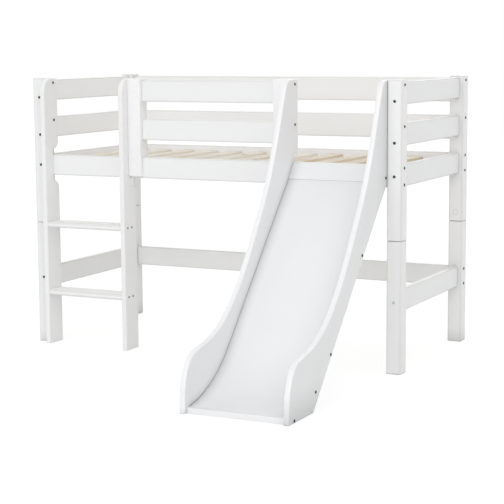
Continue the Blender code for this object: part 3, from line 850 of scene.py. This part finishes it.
# %% Countersinks
for piece, finish in pieces:
    if finish == "upright_lacquer":
        carve(piece, turned_copies(countersink_rings, rung_spots))
    elif piece.name in ("slat_01_planed", "slat_13_planed"):
        carve(piece, turned_copies(countersink_rings, slat_spots))
print("countersinks:", len(rung_spots) + len(slat_spots))

# %% [markdown]
# ## Finishes: what several of them share
# Sprayed paint, laminate and bare wood have effects in common: thin paint along edges, a fine
# waviness like orange peel, and the figure of wood, which shows clearly in the slats and faintly
# through the lacquer. Each effect is a node group with its own inputs, so that every finish can set it
# to its own strength.

# %% Helpers for node trees
def give(tree, socket, value):
    """Links a socket to another node's socket, or sets its own value; None leaves it as it is."""
    if isinstance(value, bpy.types.NodeSocket):
        tree.links.new(value, socket)
    elif value is not None:
        socket.default_value = value


def feed(tree, node, **values):
    """Gives values or links to a node's sockets by their names."""
    for label, value in values.items():
        give(tree, node.inputs[label.replace("_", " ")], value)


def add(tree, kind, **settings):
    """A node with its settings; a setting that isn't the node's own goes to the socket of that name."""
    node = tree.nodes.new("ShaderNode" + kind)
    for label, value in settings.items():
        if hasattr(node, label):
            setattr(node, label, value)
        else:
            feed(tree, node, **{label: value})
    return node


def math_node(tree, operation, first, second=None):
    node = add(tree, "Math", operation=operation)
    give(tree, node.inputs[0], first)
    give(tree, node.inputs[1], second)
    return node.outputs[0]


def vector_math(tree, operation, first, second):
    node = add(tree, "VectorMath", operation=operation)
    give(tree, node.inputs[0], first)
    give(tree, node.inputs["Scale" if operation == "SCALE" else 1], second)
    return node.outputs["Value" if operation == "DISTANCE" else "Vector"]


def noise(tree, scale, detail, roughness, vector=None):
    node = add(tree, "TexNoise", Scale=scale, Detail=detail, Roughness=roughness, Vector=vector)
    return node.outputs["Fac"]


def mix_colour(tree, factor, first, second):
    """A colour mix; each operand is a colour or another node's socket."""
    node = add(tree, "Mix", data_type="RGBA")
    for index, value in ((0, factor), (6, first), (7, second)):
        give(tree, node.inputs[index], (*value, 1) if isinstance(value, tuple) else value)
    return node.outputs[2]


def ranged(tree, value, low, high, new_low=0.0, new_high=1.0):
    """A value's range from low to high, spread over the new range and clamped to it."""
    node = add(tree, "MapRange", Value=value, From_Min=low, From_Max=high, To_Min=new_low, To_Max=new_high)
    return node.outputs["Result"]


def bump(tree, height, strength, distance, under=None):
    """Turns a height into a tilt of the surface, on top of another tilt if there is one."""
    node = add(tree, "Bump", Strength=strength, Distance=distance, Height=height, Normal=under)
    return node.outputs["Normal"]


def new_group(name, inputs, outputs):
    """A shader group with its sockets: inputs are (name, type, value), outputs (name, type)."""
    tree = bpy.data.node_groups.new(name, "ShaderNodeTree")
    for label, kind, value in inputs:
        socket = tree.interface.new_socket(label, in_out="INPUT", socket_type="NodeSocket" + kind)
        if value is not None:
            socket.default_value = value
    for label, kind in outputs:
        tree.interface.new_socket(label, in_out="OUTPUT", socket_type="NodeSocket" + kind)
    return tree, tree.nodes.new("NodeGroupInput").outputs, tree.nodes.new("NodeGroupOutput")


# %% [markdown]
# ## Wood figure
# A board is cut from rings round the tree's heart, so its figure is a set of long, nearly straight
# lines that wander and bend round knots. Stretching a noise a hundred times along the board gives
# fibres but no rings. Here the distance from a wavering heart line below the board gives the rings, a
# stretched noise gives the fibres, and a few Voronoi cells give the knots that bend the rings.

# %% Group: wood figure
cell_scale = 11.0
cell_stretch = (0.40, 0.8, 0.8)
waver_stretch = (1.6, 6.0, 6.0)
waver_width = 0.05
heart_depth = 0.030
knot_bend = 0.006
late_growth = 2.2
fibre_stretch = (18.0, 1500.0, 1500.0)
board_shift = 7.3


def make_wood_figure():
    tree, given, result = new_group(
        "wood_figure",
        (("Vector", "Vector", None), ("Ring Spacing", "Float", 0.004), ("Knot Size", "Float", 0.010)),
        (("Rings", "Float"), ("Fibres", "Float"), ("Knots", "Float"), ("Tone", "Float")),
    )
    shift = vector_math(tree, "SCALE", add(tree, "ObjectInfo").outputs["Location"], board_shift)
    spot = vector_math(tree, "ADD", given["Vector"], shift)

    # Knots: cells about 0.23 m long and 0.11 m wide could hold one each, but only some cells do
    cell_place = vector_math(tree, "MULTIPLY", spot, cell_stretch)
    cells = add(tree, "TexVoronoi", Vector=cell_place, Scale=cell_scale, Randomness=1.0)
    knot_reach = math_node(tree, "MULTIPLY", given["Knot Size"], cell_scale)
    knot_ratio = math_node(tree, "DIVIDE", cells.outputs["Distance"], knot_reach)
    chance = add(tree, "SeparateColor", Color=cells.outputs["Color"]).outputs[0]
    has_knot = ranged(tree, chance, 0.62, 0.66)
    knots = math_node(tree, "MULTIPLY", ranged(tree, knot_ratio, 1.0, 0.55), has_knot)
    near = math_node(tree, "MULTIPLY", ranged(tree, knot_ratio, 4.0, 0.6), has_knot)

    # Rings: distance from a heart line that wavers along the board
    waver = noise(tree, 1.0, 2.0, 0.5, vector_math(tree, "MULTIPLY", spot, waver_stretch))
    axes = add(tree, "SeparateXYZ", Vector=given["Vector"]).outputs
    heart_side = math_node(tree, "MULTIPLY", math_node(tree, "SUBTRACT", waver, 0.5), waver_width)
    across = math_node(tree, "ADD", axes["Y"], heart_side)
    depth = math_node(tree, "ADD", axes["Z"], heart_depth)
    squares = [math_node(tree, "POWER", way, 2.0) for way in (across, depth)]
    radius = math_node(tree, "SQRT", math_node(tree, "ADD", *squares))
    bent = math_node(tree, "ADD", radius, math_node(tree, "MULTIPLY", near, knot_bend))
    saw = math_node(tree, "FRACT", math_node(tree, "DIVIDE", bent, given["Ring Spacing"]))
    late = math_node(tree, "POWER", saw, late_growth)
    rings = math_node(tree, "MULTIPLY", late, ranged(tree, saw, 1.0, 0.93))

    # Fibres: a noise drawn out along the board
    fibres = noise(tree, 1.0, 3.0, 0.6, vector_math(tree, "MULTIPLY", spot, fibre_stretch))

    # Tone: one board is paler than the next, and each changes slowly along its length
    tone = ranged(tree, noise(tree, 3.0, 1.0, 0.4, spot), 0.35, 0.65)
    feed(tree, result, Rings=rings, Fibres=fibres, Knots=knots, Tone=tone)
    return tree


wood_figure = make_wood_figure()
print("group", wood_figure.name, "with", len(wood_figure.nodes), "nodes")

# %% [markdown]
# ## Paint film
# Sprayed lacquer is never quite even. It has a fine waviness, a very slight change of tone from one
# place to the next, and it is thinner on edges, where it is also a little smoother from handling.

# %% Group: paint film
edge_polish = -0.06


def make_paint_film():
    tree, given, result = new_group(
        "paint_film",
        (
            ("Vector", "Vector", None),
            ("Colour", "Color", (0.86, 0.86, 0.85, 1)),
            ("Edge Colour", "Color", (0.80, 0.79, 0.76, 1)),
            ("Edge", "Float", 0.0),
            ("Mottle", "Float", 0.02),
            ("Handling", "Float", 1.0),
            ("Roughness", "Float", 0.35),
        ),
        (("Colour", "Color"), ("Roughness", "Float"), ("Height", "Float")),
    )
    broad = noise(tree, 5.0, 3.0, 0.55, given["Vector"])
    peel = noise(tree, 420.0, 2.0, 0.5, given["Vector"])
    rub = noise(tree, 60.0, 4.0, 0.65, given["Vector"])

    swing = math_node(tree, "MULTIPLY", math_node(tree, "SUBTRACT", broad, 0.5), given["Mottle"])
    toned = vector_math(tree, "SCALE", given["Colour"], math_node(tree, "ADD", 1.0, swing))
    worn = math_node(tree, "MULTIPLY", given["Edge"], ranged(tree, rub, 0.45, 0.75, 0.0, 0.5))
    worn = math_node(tree, "MULTIPLY", worn, given["Handling"])
    colour = mix_colour(tree, worn, toned, given["Edge Colour"])

    uneven = ranged(tree, rub, 0.3, 0.7, -0.05, 0.05)
    uneven = math_node(tree, "MULTIPLY", uneven, given["Handling"])
    rough = math_node(tree, "ADD", given["Roughness"], uneven)
    rough = math_node(tree, "ADD", rough, math_node(tree, "MULTIPLY", given["Edge"], edge_polish))
    feed(tree, result, Colour=colour, Roughness=rough, Height=peel)
    return tree


paint_film = make_paint_film()
print("group", paint_film.name, "with", len(paint_film.nodes), "nodes")

# %% [markdown]
# ## Building a finish
# Each finish has its own Principled shader, because only masks, colours and heights may come from a
# group. Coordinates are each piece's own, so the figure stays on the board wherever it stands. The
# frame's plates have their length upwards, so they get a turned copy of the coordinates.

# %% Helpers for finishes
def start_finish(name, upright=False):
    """A new finish: its node tree, its shader, and the piece's own coordinates."""
    material = bpy.data.materials.new(name)
    material.use_nodes = True
    finishes[name] = material
    tree = material.node_tree
    coordinates = add(tree, "TexCoord").outputs["Object"]
    if upright:
        turned = add(tree, "Mapping", Rotation=(0, math.radians(90), 0), Vector=coordinates)
        coordinates = turned.outputs[0]
    return tree, tree.nodes["Principled BSDF"], coordinates


def placed_knots(tree, coordinates, places):
    """The distance to the nearest of a few knots, as a share of its radius."""
    nearest = None
    for centre, radius in places:
        away = vector_math(tree, "DISTANCE", coordinates, centre)
        ratio = math_node(tree, "DIVIDE", away, radius)
        nearest = ratio if nearest is None else math_node(tree, "MINIMUM", nearest, ratio)
    return nearest


# %% [markdown]
# ## Lacquers and laminate
# The frame has a satin white lacquer over pine, through which the figure shows as the faintest
# relief and a knot as a faint ring. Some pieces get a lighter or darker copy of the same white, as
# painted light and shade: the gate posts and the upper boards of the left end are painted lightest,
# the front right post and leg a little lighter, and the front left leg and the slide's right panel
# darker. The slide's panels are cooler and smoother, since they are board without a figure. Along
# their rims the frame's boards get a painted shade and the slide's panels a painted highlight, and
# the sheet has a harder, glossier face.
#
# Painted shade: the Ambient Occlusion node finds the inner corners, creases and slits, where shade
# falls, and the colour is made greyer there. It stays in the material itself, where an export can bake
# it, and not in a group.

# %% How a lacquer is built
figure_relief = 0.0002
peel_relief = 0.00006
ghost_knot = (0.85, 0.83, 0.77)
knot_ring = (0.60, 0.59, 0.52)
# The grey towards which painted shade turns the colour in corners
crease_shade_grey = (0.36, 0.36, 0.36)


def make_lacquer(name, coat, colour, crease_shade=None, rim=None, upright=False, knots=()):
    """A white finish: a coat in its colour, painted shade in creases, a painted rim tone and placed knots.
    """
    edge_colour, roughness, handling, figure_strength = coat
    tree, shader, coordinates = start_finish(name, upright)
    edge = add(tree, "Attribute", attribute_name="edge").outputs["Fac"]
    film = add(
        tree, "Group", node_tree=paint_film, Vector=coordinates, Edge=edge, Handling=handling,
        Colour=(*colour, 1), Edge_Colour=(*edge_colour, 1), Roughness=roughness,
    ).outputs
    painted = film["Colour"]
    figure_tilt = None
    if figure_strength:
        figure = add(
            tree, "Group", node_tree=wood_figure, Vector=coordinates, Ring_Spacing=0.006, Knot_Size=0.010,
        ).outputs
        relief = math_node(tree, "ADD", figure["Rings"], figure["Fibres"])
        relief = math_node(tree, "SUBTRACT", relief, figure["Knots"])
        figure_tilt = bump(tree, relief, figure_strength, figure_relief)
        ghost = math_node(tree, "MULTIPLY", figure["Knots"], 0.25)
        painted = mix_colour(tree, ghost, painted, ghost_knot)
    # Painted light and shade on the rims: a lighter rim colour stands for a highlight, a darker one for
    # shade
    if rim:
        painted = mix_colour(tree, edge, painted, rim)
    if knots:
        ratio = placed_knots(tree, coordinates, knots)
        off_rim = math_node(tree, "ABSOLUTE", math_node(tree, "SUBTRACT", ratio, 1.0))
        painted = mix_colour(tree, ranged(tree, off_rim, 0.5, 0.0, 0.0, 0.32), painted, knot_ring)
    # Painted shade: the more closed in a point is, the greyer its colour
    if crease_shade:
        shade_strength, reach = crease_shade
        corner = add(tree, "AmbientOcclusion", Distance=reach)
        shade_mask = ranged(tree, corner.outputs["AO"], 0.0, 1.0, 2 * shade_strength, 0.0)
        painted = mix_colour(tree, shade_mask, painted, crease_shade_grey)
    tilt = bump(tree, film["Height"], 0.2 * handling, peel_relief, figure_tilt)
    feed(tree, shader, Base_Color=painted, Roughness=film["Roughness"], Normal=tilt)


# %% White finishes
# A coat is its colour on edges, its roughness, how much it was handled, and the strength of a figure
frame_coat = ((0.87, 0.865, 0.85), 0.38, 1.0, 0.12)
slide_coat = ((0.93, 0.93, 0.945), 0.35, 0.6, 0)
sheet_coat = ((0.93, 0.93, 0.945), 0.28, 0.1, 0)
frame_white = (0.905, 0.908, 0.910)
slide_white = (0.900, 0.903, 0.912)
# Rim colours: painted shade on the frame's rims, a painted highlight on the slide panels' rims
frame_rim_shade = (0.80, 0.80, 0.79)
slide_rim_highlight = (0.935, 0.935, 0.948)

# A crease shade is how strongly a corner is painted darker, and how far that painted shade reaches out of
# it
rear_crease_shade = (0.36, 0.07)
left_crease_shade = (0.26, 0.06)
right_crease_shade = (0.30, 0.008)
post_knots = (((-0.2728, -0.03, -0.0006), 0.011), ((-0.2932, -0.03, 0.0195), 0.005))

# Painted light and shade: the crease pairs paint shade into corners, and the lighter and darker copies of
# the white stand for light and shade on single pieces
make_lacquer("white_lacquer", frame_coat, frame_white, rim=frame_rim_shade)
make_lacquer("pale_lacquer", frame_coat, (0.945, 0.948, 0.950), rim=frame_rim_shade)
make_lacquer("upright_lacquer", frame_coat, frame_white, upright=True)
make_lacquer("gate_lacquer", frame_coat, (0.940, 0.941, 0.945), upright=True)
make_lacquer("rear_post_lacquer", frame_coat, frame_white, rear_crease_shade, frame_rim_shade)
make_lacquer("knotty_post_lacquer", frame_coat, frame_white, rear_crease_shade, frame_rim_shade, knots=post_knots)
make_lacquer("left_post_lacquer", frame_coat, frame_white, left_crease_shade, frame_rim_shade)
make_lacquer("left_leg_lacquer", frame_coat, (0.880, 0.883, 0.885), left_crease_shade, frame_rim_shade)
make_lacquer("right_post_lacquer", frame_coat, (0.930, 0.932, 0.933), right_crease_shade, frame_rim_shade)
make_lacquer("right_leg_lacquer", frame_coat, (0.915, 0.917, 0.918), right_crease_shade, frame_rim_shade)
make_lacquer("slide_lacquer", slide_coat, slide_white, (0.26, 0.030), slide_rim_highlight)
make_lacquer("slide_right_lacquer", slide_coat, (0.880, 0.884, 0.892), (0.40, 0.12), slide_rim_highlight)
make_lacquer("slide_board_lacquer", slide_coat, slide_white)
make_lacquer("slide_laminate", sheet_coat, (0.892, 0.896, 0.906), (0.26, 0.045))
print("white finishes:", len(finishes))

# %% [markdown]
# ## Bare pine
# Fresh pine is pale straw with honey-coloured late wood. Its colour changes slowly along a slat and
# from one slat to the next, so there is a pale and a warm kind. The fibres give short fine streaks,
# the sawn sides are warmer than the faces, and one slat has a brown knot at a given place.

# %% Pine
fibre_brown = (0.74, 0.65, 0.51)
knot_brown = (0.20, 0.10, 0.045)


def make_pine(name, face_colours, side_colours, late_wood, late_share, knots=()):
    """Bare wood: colours between which its faces and its sawn sides vary, and those of its rings."""
    tree, shader, coordinates = start_finish(name)
    figure = add(
        tree, "Group", node_tree=wood_figure, Vector=coordinates, Ring_Spacing=0.0042, Knot_Size=0.010,
    ).outputs
    face = mix_colour(tree, figure["Tone"], *face_colours)
    side = mix_colour(tree, figure["Tone"], *side_colours)
    axes = add(tree, "SeparateXYZ", Vector=add(tree, "TexCoord").outputs["Normal"]).outputs
    upright = ranged(tree, math_node(tree, "ABSOLUTE", axes["Z"]), 0.8, 0.4)
    colour = mix_colour(tree, upright, face, side)
    colour = mix_colour(tree, math_node(tree, "MULTIPLY", figure["Rings"], late_share), colour, late_wood)
    streak = ranged(tree, figure["Fibres"], 0.35, 0.75, 0.0, 0.22)
    colour = mix_colour(tree, streak, colour, fibre_brown)
    colour = mix_colour(tree, figure["Knots"], colour, knot_brown)
    if knots:
        core = ranged(tree, placed_knots(tree, coordinates, knots), 1.3, 0.6)
        colour = mix_colour(tree, core, colour, knot_brown)
    rough = ranged(tree, figure["Rings"], 0.0, 1.0, 0.66, 0.50)
    relief = math_node(tree, "SUBTRACT", figure["Fibres"], figure["Rings"])
    tilt = bump(tree, relief, 0.35, figure_relief)
    feed(tree, shader, Base_Color=colour, Roughness=rough, Normal=tilt)


pale = (
    ((0.84, 0.81, 0.74), (0.80, 0.74, 0.64)),
    ((0.86, 0.82, 0.74), (0.83, 0.75, 0.63)),
    (0.76, 0.66, 0.52), 0.35,
)
warm = (
    ((0.81, 0.76, 0.67), (0.75, 0.67, 0.56)),
    ((0.79, 0.69, 0.56), (0.73, 0.57, 0.42)),
    (0.74, 0.61, 0.45), 0.45,
)
slat_knots = (((0.193, -0.003, slat_thickness / 2), 0.008),)
make_pine("pale_pine", *pale)
make_pine("warm_pine", *warm)
make_pine("knotty_pine", *warm, slat_knots)
print("finishes so far:", len(finishes))

# %% [markdown]
# ## Steel
# The bolt heads look dark because a socket in a small head swallows light, and because the steel is
# burnished. Brushed marks run round the head, so a noise on the distance from its middle would suit a
# single head; on many small heads a fine even noise is enough. One bolt is newer and still bright.

# %% Steel
for name, light, dark in (
    ("zinc_steel", (0.075, 0.075, 0.09), (0.05, 0.05, 0.06)),
    ("bright_zinc", (0.72, 0.74, 0.76), (0.58, 0.60, 0.62)),
):
    tree, shader, coordinates = start_finish(name)
    stain = noise(tree, 500.0, 4.0, 0.6, coordinates)
    colour = mix_colour(tree, ranged(tree, stain, 0.35, 0.65), light, dark)
    rough = ranged(tree, stain, 0.3, 0.7, 0.38, 0.55)
    tilt = bump(tree, stain, 0.2, 0.00005)
    feed(tree, shader, Base_Color=colour, Roughness=rough, Metallic=0.85, Normal=tilt)
    print(name, "with", len(tree.nodes), "nodes")

# %% [markdown]
# ## Woven tape
# The tapes under the slats are white cotton in a plain weave. Two crossed waves give the threads as a
# height, and the same threads are painted darker where they dip, as painted shade.

# %% Tape
thread_scale = 320.0
tree, shader, coordinates = start_finish("woven_tape")
waves = [
    add(tree, "TexWave", bands_direction=way, Scale=thread_scale, Vector=coordinates).outputs["Fac"]
    for way in ("X", "Y")
]
threads = math_node(tree, "MULTIPLY", *waves)
# Painted shade: the threads' dips get a darker colour
colour = mix_colour(tree, threads, (0.52, 0.51, 0.47), (0.80, 0.79, 0.74))
rough = ranged(tree, threads, 0.0, 1.0, 0.95, 0.80)
feed(tree, shader, Base_Color=colour, Roughness=rough, Normal=bump(tree, threads, 0.6, 0.0004))
print("finishes:", sorted(finishes))

# %% [markdown]
# ## Giving the pieces their finishes
# The pieces took note of their finish when they were placed. The few solids that stay as they are,
# the studs in the joints and the tapes, get theirs here too.

# %% Assign finishes
for node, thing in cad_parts.items():
    if not thing.hide_render:
        pieces.append((thing, "woven_tape" if node.endswith("tape") else "zinc_steel"))
        print("kept solid:", node)
for piece, finish in pieces:
    piece.data.materials.clear()
    piece.data.materials.append(finishes[finish])

# %% [markdown]
# ## Light and floor
# The picture is a studio one on white, with very soft light. Four wide suns, from the front, the
# right, the left and the rear, give each side of the bed its own tone, and a pale world fills the
# rest. The floor is white paper: to the camera it glows a little, so that it stays white, but part of
# what the camera sees there is still lit, so the bed's soft shadow stays.

# %% World
white = (1, 1, 1, 1)


def mix_shaders(tree, share, first, second, output):
    """Sends a mix of two shaders to the output's surface."""
    mixer = add(tree, "MixShader")
    for socket, source in zip(mixer.inputs, (share, first.outputs[0], second.outputs[0])):
        give(tree, socket, source)
    feed(tree, output, Surface=mixer.outputs[0])


world = bpy.data.worlds.new("studio")
bpy.context.scene.world = world
world.use_nodes = True
tree = world.node_tree
tree.nodes.clear()
rays = add(tree, "LightPath").outputs
seen = math_node(tree, "MAXIMUM", rays["Is Camera Ray"], rays["Is Glossy Ray"])
seen = math_node(tree, "MAXIMUM", seen, rays["Is Transmission Ray"])
lit = add(tree, "Background", Color=white, Strength=0.50)
shown = add(tree, "Background", Color=white, Strength=1.0)
mix_shaders(tree, seen, lit, shown, add(tree, "OutputWorld"))
print("the world has", len(tree.nodes), "nodes")

# %% Floor
floor_reach = 15.0
floor_z = -0.0002
floor_share = 0.7
floor_mesh = bpy.data.meshes.new("floor")
floor_corners = [(x * floor_reach, y * floor_reach, 0) for x, y in ((-1, -1), (1, -1), (1, 1), (-1, 1))]
floor_mesh.from_pydata(floor_corners, [], [(0, 1, 2, 3)])
floor = bpy.data.objects.new("floor", floor_mesh)
floor.location.z = floor_z
bpy.context.scene.collection.objects.link(floor)

paper = bpy.data.materials.new("floor_paper")
paper.use_nodes = True
tree = paper.node_tree
shader = tree.nodes["Principled BSDF"]
shade = mix_colour(tree, noise(tree, 3.0, 2.0, 0.5), (0.90, 0.90, 0.90), (0.92, 0.92, 0.92))
feed(tree, shader, Base_Color=shade, Roughness=0.9)
glow = add(tree, "Emission", Color=white, Strength=1.12)
share = math_node(tree, "MULTIPLY", add(tree, "LightPath").outputs["Is Camera Ray"], floor_share)
mix_shaders(tree, share, shader, glow, tree.nodes["Material Output"])
floor_mesh.materials.append(paper)
print("the floor lies", -floor_z * 1000, "mm under the feet")

# %% Lamps
lamp_angle = math.radians(50)
for name, azimuth, elevation, strength in (
    ("front_light", 0, 30, 0.84),
    ("right_light", 60, 40, 0.54),
    ("left_light", -90, 30, 0.36),
    ("rear_light", 180, 30, 0.68),
):
    lamp = bpy.data.lights.new(name, "SUN")
    lamp.energy = strength
    lamp.angle = lamp_angle
    light = bpy.data.objects.new(name, lamp)
    light.rotation_euler = (math.radians(90 - elevation), 0, math.radians(azimuth))
    bpy.context.scene.collection.objects.link(light)
    print(name, "at", azimuth, "degrees with strength", strength)

bpy.context.scene.view_settings.view_transform = "Standard"
